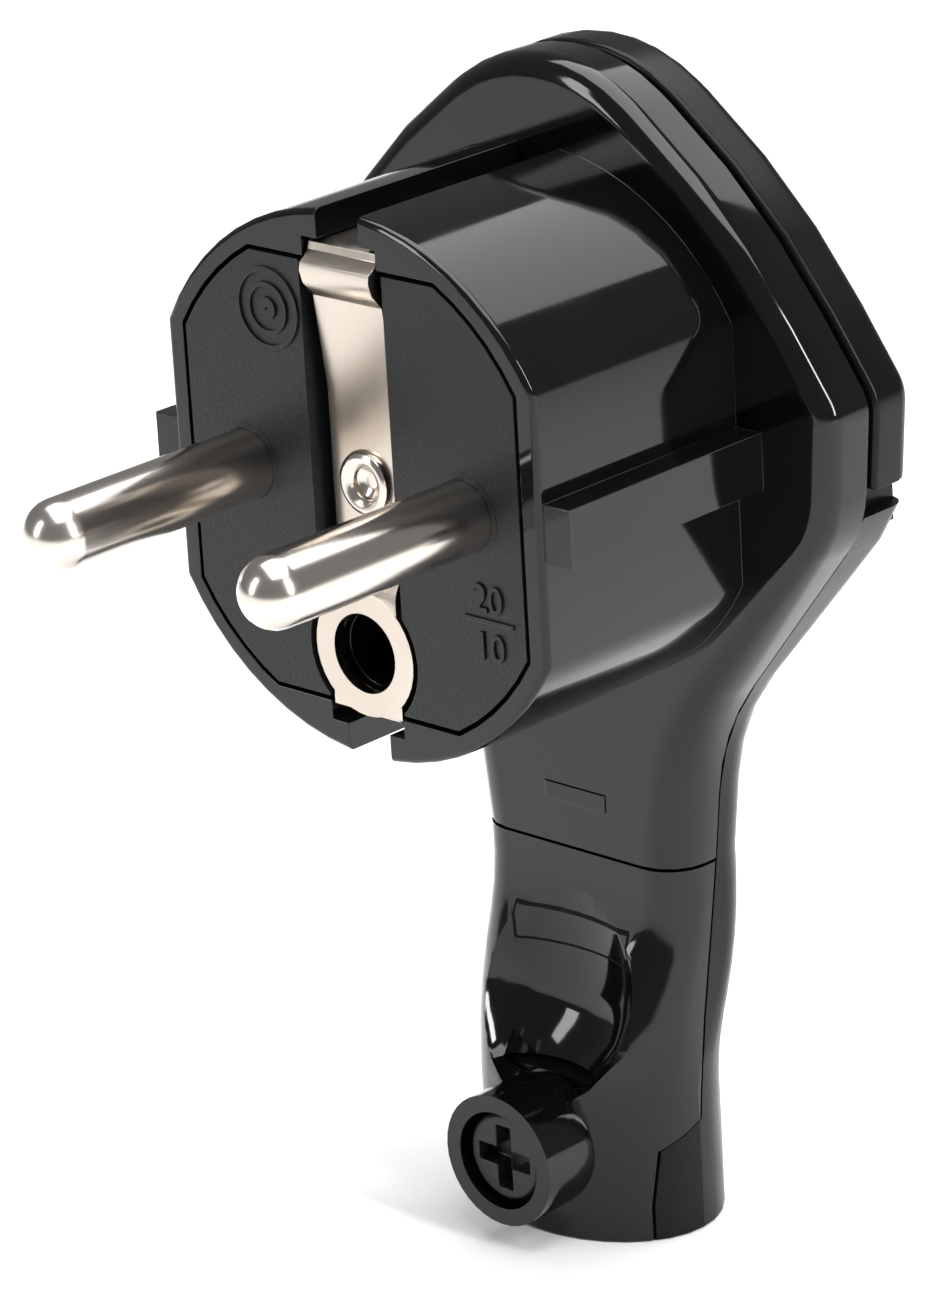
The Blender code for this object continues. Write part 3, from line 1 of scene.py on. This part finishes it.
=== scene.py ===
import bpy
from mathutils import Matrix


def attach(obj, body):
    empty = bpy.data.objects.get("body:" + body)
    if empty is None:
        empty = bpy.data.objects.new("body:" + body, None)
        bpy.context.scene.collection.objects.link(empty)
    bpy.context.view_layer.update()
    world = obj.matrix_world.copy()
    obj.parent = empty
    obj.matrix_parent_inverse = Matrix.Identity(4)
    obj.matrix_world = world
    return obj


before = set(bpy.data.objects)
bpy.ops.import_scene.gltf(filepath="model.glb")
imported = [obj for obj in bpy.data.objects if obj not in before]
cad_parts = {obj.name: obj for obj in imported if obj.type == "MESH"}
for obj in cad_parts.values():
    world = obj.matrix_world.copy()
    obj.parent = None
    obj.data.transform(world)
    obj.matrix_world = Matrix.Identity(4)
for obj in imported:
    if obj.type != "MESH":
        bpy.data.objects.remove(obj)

"""The looks of the flat mains plug: finishes, soft edges, moulded marks, small closing pieces and studio."""

import logging
import math
from dataclasses import dataclass, field
from enum import Enum

import bpy
from mathutils import Matrix, Vector

log = logging.getLogger("flat_plug")

MM = 0.001
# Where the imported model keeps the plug's face and its pins' axis, in millimetres
FACE_Y = -4.2
PIN_AXIS_Z = 57.0
PIN_SPACING = 19.0
RIVET_HEIGHT = 0.1
ORIGIN = (0.0, 0.0, 0.0)
QUARTER_TURN = math.pi / 2
# The part of a noise texture's range that holds nearly all of its values
NOISE_LOW, NOISE_HIGH = 0.3, 0.7
TINT_LOW, TINT_HIGH = 0.35, 0.65
LEAST_ROUGHNESS = 0.02
PLASTIC_IOR = 1.5


class Body(Enum):
    """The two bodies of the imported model."""

    PLUG = "plug"
    HANDLE = "handle"


class Slot(Enum):
    """The record's material slots."""

    SHELL_GLOSS = "shell_gloss"
    SHELL_SEMI_GLOSS = "shell_semi_gloss"
    INSERT_MATT = "insert_matt"
    NICKEL = "nickel"
    BRASS = "brass"
    STEEL = "steel"
    BLACK_STEEL = "black_steel"


def at(x: float, depth: float, height: float) -> Vector:
    """A place given from the middle of the plug's face, in millimetres.

    Args:
        x: Distance across the pins.
        depth: Distance behind the face.
        height: Distance above the pins' axis.

    Returns:
        The place in the model's own frame, in metres.
    """
    return Vector((x, depth + FACE_Y, height + PIN_AXIS_Z)) * MM


def select_only(item: bpy.types.Object) -> None:
    """Makes one object the active and only selected one.

    Args:
        item: The object.
    """
    bpy.ops.object.select_all(action="DESELECT")
    item.select_set(True)
    bpy.context.view_layer.objects.active = item


@dataclass(frozen=True)
class Finish:
    """A procedural surface with a fine bump and an uneven gloss."""

    name: str
    colour: tuple[float, float, float]
    roughness: float
    metallic: float = 0.0
    specular: float = 0.5
    tint: tuple[float, float, float] | None = None
    uneven_mm: float = 6.0
    uneven_gloss: float = 0.05
    grain_mm: float = 0.3
    grain_depth_mm: float = 0.004
    grain_strength: float = 0.3
    stretch: tuple[float, float, float] = (1.0, 1.0, 1.0)

    def material(self) -> bpy.types.Material:
        """The Blender material of this finish, made once.

        Returns:
            The material.
        """
        made = bpy.data.materials.get(self.name)
        if made:
            return made
        made = bpy.data.materials.new(self.name)
        made.use_nodes = True
        nodes, links = made.node_tree.nodes, made.node_tree.links
        shader = nodes["Principled BSDF"]
        shader.inputs["Metallic"].default_value = self.metallic
        shader.inputs["IOR"].default_value = PLASTIC_IOR
        shader.inputs["Specular IOR Level"].default_value = self.specular
        place = nodes.new("ShaderNodeTexCoord")
        mapping = nodes.new("ShaderNodeMapping")
        mapping.inputs["Scale"].default_value = self.stretch
        links.new(place.outputs["Object"], mapping.inputs["Vector"])
        cloud = nodes.new("ShaderNodeTexNoise")
        cloud.inputs["Scale"].default_value = 1.0 / (self.uneven_mm * MM)
        cloud.inputs["Detail"].default_value = 5.0
        links.new(mapping.outputs["Vector"], cloud.inputs["Vector"])
        gloss = nodes.new("ShaderNodeMapRange")
        gloss.inputs["From Min"].default_value = NOISE_LOW
        gloss.inputs["From Max"].default_value = NOISE_HIGH
        gloss.inputs["To Min"].default_value = max(LEAST_ROUGHNESS, self.roughness - self.uneven_gloss)
        gloss.inputs["To Max"].default_value = self.roughness + self.uneven_gloss
        links.new(cloud.outputs["Fac"], gloss.inputs["Value"])
        links.new(gloss.outputs["Result"], shader.inputs["Roughness"])
        ramp = nodes.new("ShaderNodeValToRGB")
        ramp.color_ramp.elements[0].position = TINT_LOW
        ramp.color_ramp.elements[1].position = TINT_HIGH
        ramp.color_ramp.elements[0].color = (*self.colour, 1.0)
        ramp.color_ramp.elements[1].color = (*(self.tint or self.colour), 1.0)
        links.new(cloud.outputs["Fac"], ramp.inputs["Fac"])
        links.new(ramp.outputs["Color"], shader.inputs["Base Color"])
        grain = nodes.new("ShaderNodeTexNoise")
        grain.inputs["Scale"].default_value = 1.0 / (self.grain_mm * MM)
        grain.inputs["Detail"].default_value = 3.0
        links.new(mapping.outputs["Vector"], grain.inputs["Vector"])
        bump = nodes.new("ShaderNodeBump")
        bump.inputs["Strength"].default_value = self.grain_strength
        bump.inputs["Distance"].default_value = self.grain_depth_mm * MM
        links.new(grain.outputs["Fac"], bump.inputs["Height"])
        links.new(bump.outputs["Normal"], shader.inputs["Normal"])
        return made


GLOSS_BLACK = Finish(
    name="polished_black_moulding",
    colour=(0.0022, 0.0022, 0.0025),
    roughness=0.07,
    specular=0.38,
    tint=(0.003, 0.003, 0.0035),
    uneven_gloss=0.025,
    grain_mm=1.1,
    grain_depth_mm=0.01,
    grain_strength=0.1,
)
SEMI_BLACK = Finish(
    name="semi_gloss_black_moulding",
    colour=(0.0035, 0.0035, 0.0038),
    roughness=0.26,
    specular=0.16,
    tint=(0.005, 0.005, 0.0055),
    uneven_gloss=0.05,
    grain_mm=0.35,
    grain_depth_mm=0.006,
    grain_strength=0.25,
)
FACE_BLACK = Finish(
    name="spark_grained_black_face",
    colour=(0.005, 0.0052, 0.006),
    roughness=0.4,
    specular=0.31,
    tint=(0.0075, 0.0078, 0.0088),
    uneven_gloss=0.06,
    grain_mm=0.24,
    grain_depth_mm=0.05,
    grain_strength=0.8,
)
# Painted shade: a dull near-black that stands in for the shade inside the insert's parting gaps in the thumb
# scoop.
CREASE_SHADE_PAINT = Finish(
    name="painted_crease_shade",
    colour=(0.0008, 0.0008, 0.0009),
    roughness=0.6,
    specular=0.1,
)
BRIGHT_NICKEL = Finish(
    name="bright_nickel_plate",
    colour=(0.6, 0.55, 0.5),
    roughness=0.19,
    metallic=1.0,
    tint=(0.68, 0.63, 0.58),
    uneven_mm=9.0,
    uneven_gloss=0.05,
    grain_mm=0.5,
    grain_depth_mm=0.003,
    grain_strength=0.2,
    stretch=(1.0, 0.25, 1.0),
)
STRIP_NICKEL = Finish(
    name="rolled_nickel_strip",
    colour=(0.52, 0.46, 0.4),
    roughness=0.24,
    metallic=1.0,
    tint=(0.6, 0.54, 0.48),
    uneven_mm=7.0,
    uneven_gloss=0.07,
    grain_mm=0.35,
    grain_depth_mm=0.004,
    grain_strength=0.3,
    stretch=(1.0, 1.0, 0.2),
)
PLAIN_BRASS = Finish(
    name="plain_turned_brass",
    colour=(0.62, 0.43, 0.17),
    roughness=0.28,
    metallic=1.0,
    tint=(0.7, 0.52, 0.24),
)
ZINC_STEEL = Finish(
    name="zinc_plated_steel",
    colour=(0.5, 0.52, 0.54),
    roughness=0.32,
    metallic=1.0,
    tint=(0.62, 0.62, 0.6),
)
BLACK_STEEL = Finish(
    name="rough_blackened_steel",
    colour=(0.006, 0.006, 0.006),
    roughness=0.42,
    metallic=0.3,
    tint=(0.014, 0.014, 0.015),
    uneven_mm=0.9,
    uneven_gloss=0.12,
    grain_mm=0.3,
    grain_depth_mm=0.05,
    grain_strength=0.7,
)


@dataclass(frozen=True)
class Softbox:
    """A rectangular light, with its places and sizes in metres and its power in watts."""

    name: str
    place: tuple[float, float, float]
    target: tuple[float, float, float]
    size: tuple[float, float]
    watts: float

    def build(self) -> None:
        """Adds the light to the scene."""
        data = bpy.data.lights.new(self.name, "AREA")
        data.shape = "RECTANGLE"
        data.size, data.size_y = self.size
        data.energy = self.watts
        lamp = bpy.data.objects.new(self.name, data)
        lamp.location = self.place
        toward = Vector(self.target) - Vector(self.place)
        lamp.rotation_euler = toward.to_track_quat("-Z", "Y").to_euler()
        bpy.context.scene.collection.objects.link(lamp)
        log.info("lit %s", self.name)


@dataclass
class Studio:
    """Camera, lights and the pale floor."""

    eye_mm: tuple[float, float, float] = (248.5, -251.7, 173.4)
    right: tuple[float, float, float] = (0.7317, 0.6795, -0.0553)
    up: tuple[float, float, float] = (-0.1954, 0.2867, 0.9379)
    lens_mm: float = 224.56
    sensor_mm: float = 36.0
    clip_m: tuple[float, float] = (0.01, 20.0)
    floor_size: float = 6.0
    floor_white: float = 0.93
    floor_roughness: float = 0.9
    sky_strength: float = 0.24
    lights: tuple[Softbox, ...] = (
        Softbox("top_softbox", (0.02, 0.04, 0.62), (0.0, 0.0, 0.05), (0.74, 0.5), 6.4),
        Softbox("back_softbox", (0.0, 0.56, 0.62), (0.0, 0.0, 0.06), (0.5, 0.22), 1.0),
        Softbox("left_strip", (-0.36, -0.62, 0.34), (0.0, 0.0, 0.06), (0.14, 0.5), 2.2),
        Softbox("right_strip", (0.62, 0.02, 0.36), (0.0, 0.0, 0.07), (0.07, 0.5), 3.4),
    )

    def build(self) -> None:
        """Makes the camera, the floor, the surround and the lights."""
        self.make_camera()
        self.make_floor()
        self.make_world()
        for light in self.lights:
            light.build()

    def make_camera(self) -> None:
        """Places the camera at the photograph's viewing angle."""
        right = Vector(self.right).normalized()
        up = (Vector(self.up) - right * right.dot(Vector(self.up))).normalized()
        turn = Matrix((right, up, right.cross(up))).transposed().to_4x4()
        data = bpy.data.cameras.new("photo_camera")
        data.sensor_fit = "HORIZONTAL"
        data.sensor_width = self.sensor_mm
        data.lens = self.lens_mm
        data.clip_start, data.clip_end = self.clip_m
        camera = bpy.data.objects.new("photo_camera", data)
        camera.matrix_world = Matrix.Translation(Vector(self.eye_mm) * MM) @ turn
        bpy.context.scene.collection.objects.link(camera)
        bpy.context.scene.camera = camera

    def make_floor(self) -> None:
        """A wide pale floor that the plug's foot stands on."""
        bpy.ops.mesh.primitive_plane_add(size=self.floor_size, location=ORIGIN)
        floor = bpy.context.object
        floor.name = "studio_floor"
        paper = bpy.data.materials.new("white_paper")
        paper.use_nodes = True
        shader = paper.node_tree.nodes["Principled BSDF"]
        white = self.floor_white
        shader.inputs["Base Color"].default_value = (white, white, white, 1.0)
        shader.inputs["Roughness"].default_value = self.floor_roughness
        floor.data.materials.append(paper)

    def make_world(self) -> None:
        """An even white surround."""
        world = bpy.data.worlds.new("white_surround")
        world.use_nodes = True
        sky = world.node_tree.nodes["Background"]
        sky.inputs["Color"].default_value = (1.0, 1.0, 1.0, 1.0)
        sky.inputs["Strength"].default_value = self.sky_strength
        bpy.context.scene.world = world
        bpy.context.scene.view_settings.view_transform = "Standard"


@dataclass
class Wardrobe:
    """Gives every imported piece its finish, soft edges and clean shading."""

    finishes: dict[str, Finish] = field(
        default_factory=lambda: {
            "front_shell": GLOSS_BLACK,
            "clamp_cover": GLOSS_BLACK,
            "rear_shell": SEMI_BLACK,
            "pull_handle": SEMI_BLACK,
            "contact_carrier": FACE_BLACK,
            "earth_sleeve": GLOSS_BLACK,
            "pin_left": BRIGHT_NICKEL,
            "pin_right": BRIGHT_NICKEL,
            "earth_strap": STRIP_NICKEL,
            "strap_rivet": BRIGHT_NICKEL,
            "earth_spring": STRIP_NICKEL,
            "earth_terminal": PLAIN_BRASS,
            "clamp_screw": BLACK_STEEL,
        }
    )
    edge_mm: dict[str, float] = field(
        default_factory=lambda: {
            "front_shell": 0.12,
            "clamp_cover": 0.3,
            "rear_shell": 0.12,
            "pull_handle": 0.12,
            "contact_carrier": 0.1,
            "earth_strap": 0.12,
            "clamp_screw": 0.1,
        }
    )
    small_edge_mm: float = 0.05
    edge_segments: int = 3
    wide_smooth: dict[str, float] = field(default_factory=lambda: {"clamp_cover": math.radians(52)})
    smooth_angle: float = math.radians(32)
    flat_angle: float = math.radians(0.6)
    weld: float = 0.002 * MM

    def dress(self) -> None:
        """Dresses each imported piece."""
        for name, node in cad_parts.items():
            finish = self.finishes.get(name, ZINC_STEEL)
            node.data.materials.clear()
            node.data.materials.append(finish.material())
            select_only(node)
            weld = node.modifiers.new("merge_corners", "WELD")
            weld.merge_threshold = self.weld
            sharp_from = self.wide_smooth.get(name, self.smooth_angle)
            flats = node.modifiers.new("whole_flats", "DECIMATE")
            flats.decimate_type = "DISSOLVE"
            flats.angle_limit = self.flat_angle
            bevel = node.modifiers.new("soft_edges", "BEVEL")
            bevel.width = self.edge_mm.get(name, self.small_edge_mm) * MM
            bevel.segments = self.edge_segments
            bevel.limit_method = "ANGLE"
            bevel.angle_limit = sharp_from
            bevel.use_clamp_overlap = True
            bevel.harden_normals = False
            bpy.ops.object.shade_smooth_by_angle(angle=sharp_from)
            shading = node.modifiers.new("even_shading", "WEIGHTED_NORMAL")
            shading.keep_sharp = True
            log.info("dressed %s in %s", name, finish.name)


@dataclass
class Marks:
    """Moulded marks on the face and the neck: plain rings round a dot, plain numbers and a plain bar."""

    raised_mm: float = 0.16
    line_mm: float = 0.32
    bar_edge_mm: float = 0.06
    swell_mm: float = 0.03
    weld_mm: float = 0.0005
    ring_sides: int = 72
    ring_smooth: float = math.radians(32)
    ring_place: tuple[float, float, float] = (-6.6, 0.0, 10.95)
    rings: tuple[tuple[str, float, float], ...] = (
        ("sign_ring", 2.75, 2.42),
        ("sign_inner_ring", 1.75, 1.45),
        ("sign_dot", 0.75, 0.1),
    )
    number_x: float = 11.3
    number_height: float = 2.6
    upper_z: float = -5.2
    rule_z: float = -6.6
    lower_z: float = -8.4
    rule_width: float = 4.2
    neck_place: tuple[float, float, float] = (0.4, 18.75, -26.9)
    neck_size: tuple[float, float] = (5.4, 1.3)

    def build(self) -> None:
        """Makes every mark."""
        face = Slot.INSERT_MATT
        for name, outer, inner in self.rings:
            self.ring(name, self.ring_place, outer, inner, face)
        self.numbers("number_upper", "20", (self.number_x, 0.0, self.upper_z), self.number_height, face)
        self.bar("number_rule", (self.number_x, 0.0, self.rule_z), (self.rule_width, self.line_mm), face)
        self.numbers("number_lower", "10", (self.number_x, 0.0, self.lower_z), self.number_height, face)
        self.bar("neck_bar", self.neck_place, self.neck_size, Slot.SHELL_GLOSS)

    def finish_piece(self, piece: bpy.types.Object, slot: Slot) -> None:
        """Gives a mark its material, picked from its slot, and its body.

        Args:
            piece: The finished mark.
            slot: The record's slot that it belongs to.
        """
        finish = FACE_BLACK if slot is Slot.INSERT_MATT else GLOSS_BLACK
        piece.data.materials.clear()
        piece.data.materials.append(finish.material())
        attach(piece, Body.PLUG.value)
        log.info("moulded %s", piece.name)

    def bar(
        self, name: str, place: tuple[float, float, float], size: tuple[float, float], slot: Slot
    ) -> None:
        """A flat bar with soft edges, raised from the surface behind it.

        Args:
            name: Its name.
            place: Its middle, as x, depth and height in millimetres.
            size: Its width and height in millimetres.
            slot: The record's slot that it belongs to.
        """
        bpy.ops.object.select_all(action="DESELECT")
        bpy.ops.mesh.primitive_cube_add(size=1.0, enter_editmode=True, location=ORIGIN)
        piece = bpy.context.object
        piece.name = name
        width, height = size
        thick = 2 * self.raised_mm
        bpy.ops.transform.resize(value=(width * MM, thick * MM, height * MM), center_override=ORIGIN)
        bpy.ops.transform.translate(value=at(*place))
        bpy.ops.mesh.bevel(offset=self.bar_edge_mm * MM, segments=2, affect="EDGES")
        bpy.ops.object.mode_set(mode="OBJECT")
        self.finish_piece(piece, slot)

    def ring(
        self,
        name: str,
        place: tuple[float, float, float],
        outer: float,
        inner: float,
        slot: Slot,
        raised: float | None = None,
    ) -> None:
        """A flat ring standing out from the surface behind it.

        Args:
            name: Its name.
            place: Its middle, as x, depth and height in millimetres.
            outer: Its outer radius in millimetres.
            inner: Its inner radius in millimetres.
            slot: The record's slot that it belongs to.
            raised: How far it stands out, in millimetres.
        """
        high = self.raised_mm if raised is None else raised
        middle = at(*place)
        front = middle - Vector((0.0, high * MM, 0.0))
        bpy.ops.object.select_all(action="DESELECT")
        bpy.ops.mesh.primitive_circle_add(
            vertices=self.ring_sides, radius=outer * MM, enter_editmode=True, location=ORIGIN
        )
        piece = bpy.context.object
        piece.name = name
        bpy.ops.transform.rotate(value=QUARTER_TURN, orient_axis="X", center_override=ORIGIN)
        bpy.ops.transform.translate(value=front)
        back = (0.0, 2 * high * MM, 0.0)
        shrink, grow = inner / outer, outer / inner
        bpy.ops.mesh.extrude_region_move()
        bpy.ops.transform.resize(value=(shrink, 1.0, shrink), center_override=front)
        bpy.ops.mesh.extrude_region_move(TRANSFORM_OT_translate={"value": back})
        bpy.ops.mesh.extrude_region_move()
        bpy.ops.transform.resize(value=(grow, 1.0, grow), center_override=front + Vector(back))
        bpy.ops.mesh.extrude_region_move(TRANSFORM_OT_translate={"value": [-part for part in back]})
        bpy.ops.mesh.select_all(action="SELECT")
        bpy.ops.mesh.remove_doubles(threshold=self.weld_mm * MM)
        bpy.ops.mesh.normals_make_consistent(inside=False)
        bpy.ops.object.mode_set(mode="OBJECT")
        bpy.ops.object.shade_smooth_by_angle(angle=self.ring_smooth)
        self.finish_piece(piece, slot)

    def numbers(
        self, name: str, text: str, place: tuple[float, float, float], height: float, slot: Slot
    ) -> None:
        """Plain raised figures.

        Args:
            name: Their name.
            text: The figures.
            place: Their middle, as x, depth and height in millimetres.
            height: Their size in millimetres.
            slot: The record's slot that they belong to.
        """
        bpy.ops.object.select_all(action="DESELECT")
        bpy.ops.object.text_add(location=at(*place), rotation=(QUARTER_TURN, 0.0, 0.0))
        piece = bpy.context.object
        piece.name = name
        piece.data.body = text
        piece.data.size = height * MM
        piece.data.align_x = "CENTER"
        piece.data.align_y = "CENTER"
        piece.data.extrude = self.raised_mm * MM
        piece.data.offset = self.swell_mm * MM
        piece.data.resolution_u = 4
        bpy.ops.object.convert(target="MESH")
        piece = bpy.context.object
        bpy.ops.object.transform_apply(location=True, rotation=True, scale=True)
        self.finish_piece(piece, slot)


@dataclass
class Seals:
    """Thin lips that close the running gaps round the pins at the face."""

    hole_radius: float = 2.41
    lip_radius: float = 2.85
    sunk_mm: float = 0.1
    thick_mm: float = 0.12

    def build(self, marks: Marks) -> None:
        """Makes one lip round each pin.

        Args:
            marks: The maker of flat rings.
        """
        for name, side in (("pin_lip_left", -1), ("pin_lip_right", 1)):
            place = (side * PIN_SPACING / 2, self.sunk_mm, 0.0)
            marks.ring(
                name, place, self.lip_radius, self.hole_radius, Slot.INSERT_MATT, self.thick_mm
            )


@dataclass
class RivetDimple:
    """The dished metal that closes the rivet's bore behind its rolled rim."""

    radius: float = 1.04
    floor_depth: float = 1.75
    thickness: float = 0.3
    steps: tuple[tuple[float, float], ...] = ((0.2, 0.16), (0.25, 0.12), (0.25, 0.05))
    sides: int = 48
    smooth_angle: float = math.radians(50)

    def build(self) -> None:
        """Makes the dish from a disc, stepped inward and smoothed."""
        bpy.ops.object.select_all(action="DESELECT")
        bpy.ops.mesh.primitive_circle_add(
            vertices=self.sides,
            radius=self.radius * MM,
            fill_type="NGON",
            enter_editmode=True,
            location=ORIGIN,
        )
        piece = bpy.context.object
        piece.name = "rivet_dimple"
        bpy.ops.transform.rotate(value=QUARTER_TURN, orient_axis="X", center_override=ORIGIN)
        bpy.ops.transform.translate(value=at(0.0, self.floor_depth, RIVET_HEIGHT))
        forward = (0.0, -self.thickness * MM, 0.0)
        bpy.ops.mesh.extrude_region_move(TRANSFORM_OT_translate={"value": forward})
        for inward, sunk in self.steps:
            bpy.ops.mesh.inset(thickness=inward * MM, depth=0.0)
            bpy.ops.transform.translate(value=(0.0, sunk * MM, 0.0))
        bpy.ops.mesh.select_all(action="SELECT")
        bpy.ops.mesh.normals_make_consistent(inside=False)
        bpy.ops.object.mode_set(mode="OBJECT")
        bpy.ops.object.shade_smooth_by_angle(angle=self.smooth_angle)
        piece.data.materials.append(BRIGHT_NICKEL.material())
        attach(piece, Body.PLUG.value)
        log.info("closed the rivet with %s", piece.name)


@dataclass
class Creases:
    """Thin parting lines of the insert in the thumb scoop, drawn as painted shade: dull near-black strips
    laid on the moulding's own surface where the gaps' shade falls.
    """

    line_mm: float = 0.16
    lift_mm: float = 0.015
    start_depth: float = 11.0
    steps: int = 48
    insert_half: float = 5.1
    insert_top: float = -35.6
    insert_low: float = -38.2

    def build(self) -> None:
        """Lays the insert's top, bottom and side lines of painted shade."""
        middle = (self.insert_top + self.insert_low) / 2
        tall, wide = self.insert_top - self.insert_low, 2 * self.insert_half
        self.line("insert_top_line", (0.0, self.insert_top), (wide, 2 * self.line_mm))
        self.line("insert_low_line", (0.0, self.insert_low), (wide, self.line_mm))
        for name, side in (("insert_left_line", -1), ("insert_right_line", 1)):
            self.line(name, (side * self.insert_half, middle), (self.line_mm, tall))

    def line(self, name: str, place: tuple[float, float], size: tuple[float, float]) -> None:
        """One line projected straight back onto the clamp cover.

        Args:
            name: Its name.
            place: Its middle, as x and height in millimetres.
            size: Its width and height in millimetres.
        """
        bpy.ops.object.select_all(action="DESELECT")
        bpy.ops.mesh.primitive_grid_add(
            x_subdivisions=self.steps,
            y_subdivisions=self.steps // 2,
            size=1.0,
            enter_editmode=True,
            location=ORIGIN,
        )
        piece = bpy.context.object
        piece.name = name
        bpy.ops.transform.rotate(value=QUARTER_TURN, orient_axis="X", center_override=ORIGIN)
        bpy.ops.transform.resize(value=(size[0] * MM, 1.0, size[1] * MM), center_override=ORIGIN)
        bpy.ops.transform.translate(value=at(place[0], self.start_depth, place[1]))
        bpy.ops.object.mode_set(mode="OBJECT")
        wrap = piece.modifiers.new("lay_on_cover", "SHRINKWRAP")
        wrap.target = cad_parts["clamp_cover"]
        wrap.wrap_method = "PROJECT"
        wrap.use_project_y = True
        wrap.use_positive_direction = True
        wrap.use_negative_direction = True
        wrap.offset = self.lift_mm * MM
        body = piece.modifiers.new("line_body", "SOLIDIFY")
        body.thickness = self.lift_mm * MM
        bpy.ops.object.modifier_apply(modifier=wrap.name)
        bpy.ops.object.modifier_apply(modifier=body.name)
        bpy.ops.object.mode_set(mode="EDIT")
        bpy.ops.mesh.select_all(action="SELECT")
        bpy.ops.mesh.normals_make_consistent(inside=False)
        bpy.ops.object.mode_set(mode="OBJECT")
        # The strip's dull near-black is painted shade for the parting gap, not a colour of the moulding.
        piece.data.materials.clear()
        piece.data.materials.append(CREASE_SHADE_PAINT.material())
        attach(piece, Body.PLUG.value)
        log.info("laid %s on the clamp cover", name)


def main() -> None:
    """Builds the looks."""
    logging.basicConfig(level=logging.INFO)
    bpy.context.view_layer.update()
    Wardrobe().dress()
    marks = Marks()
    marks.build()
    Seals().build(marks)
    RivetDimple().build()
    Creases().build()
    Studio().build()


if __name__ == "__main__":
    main()
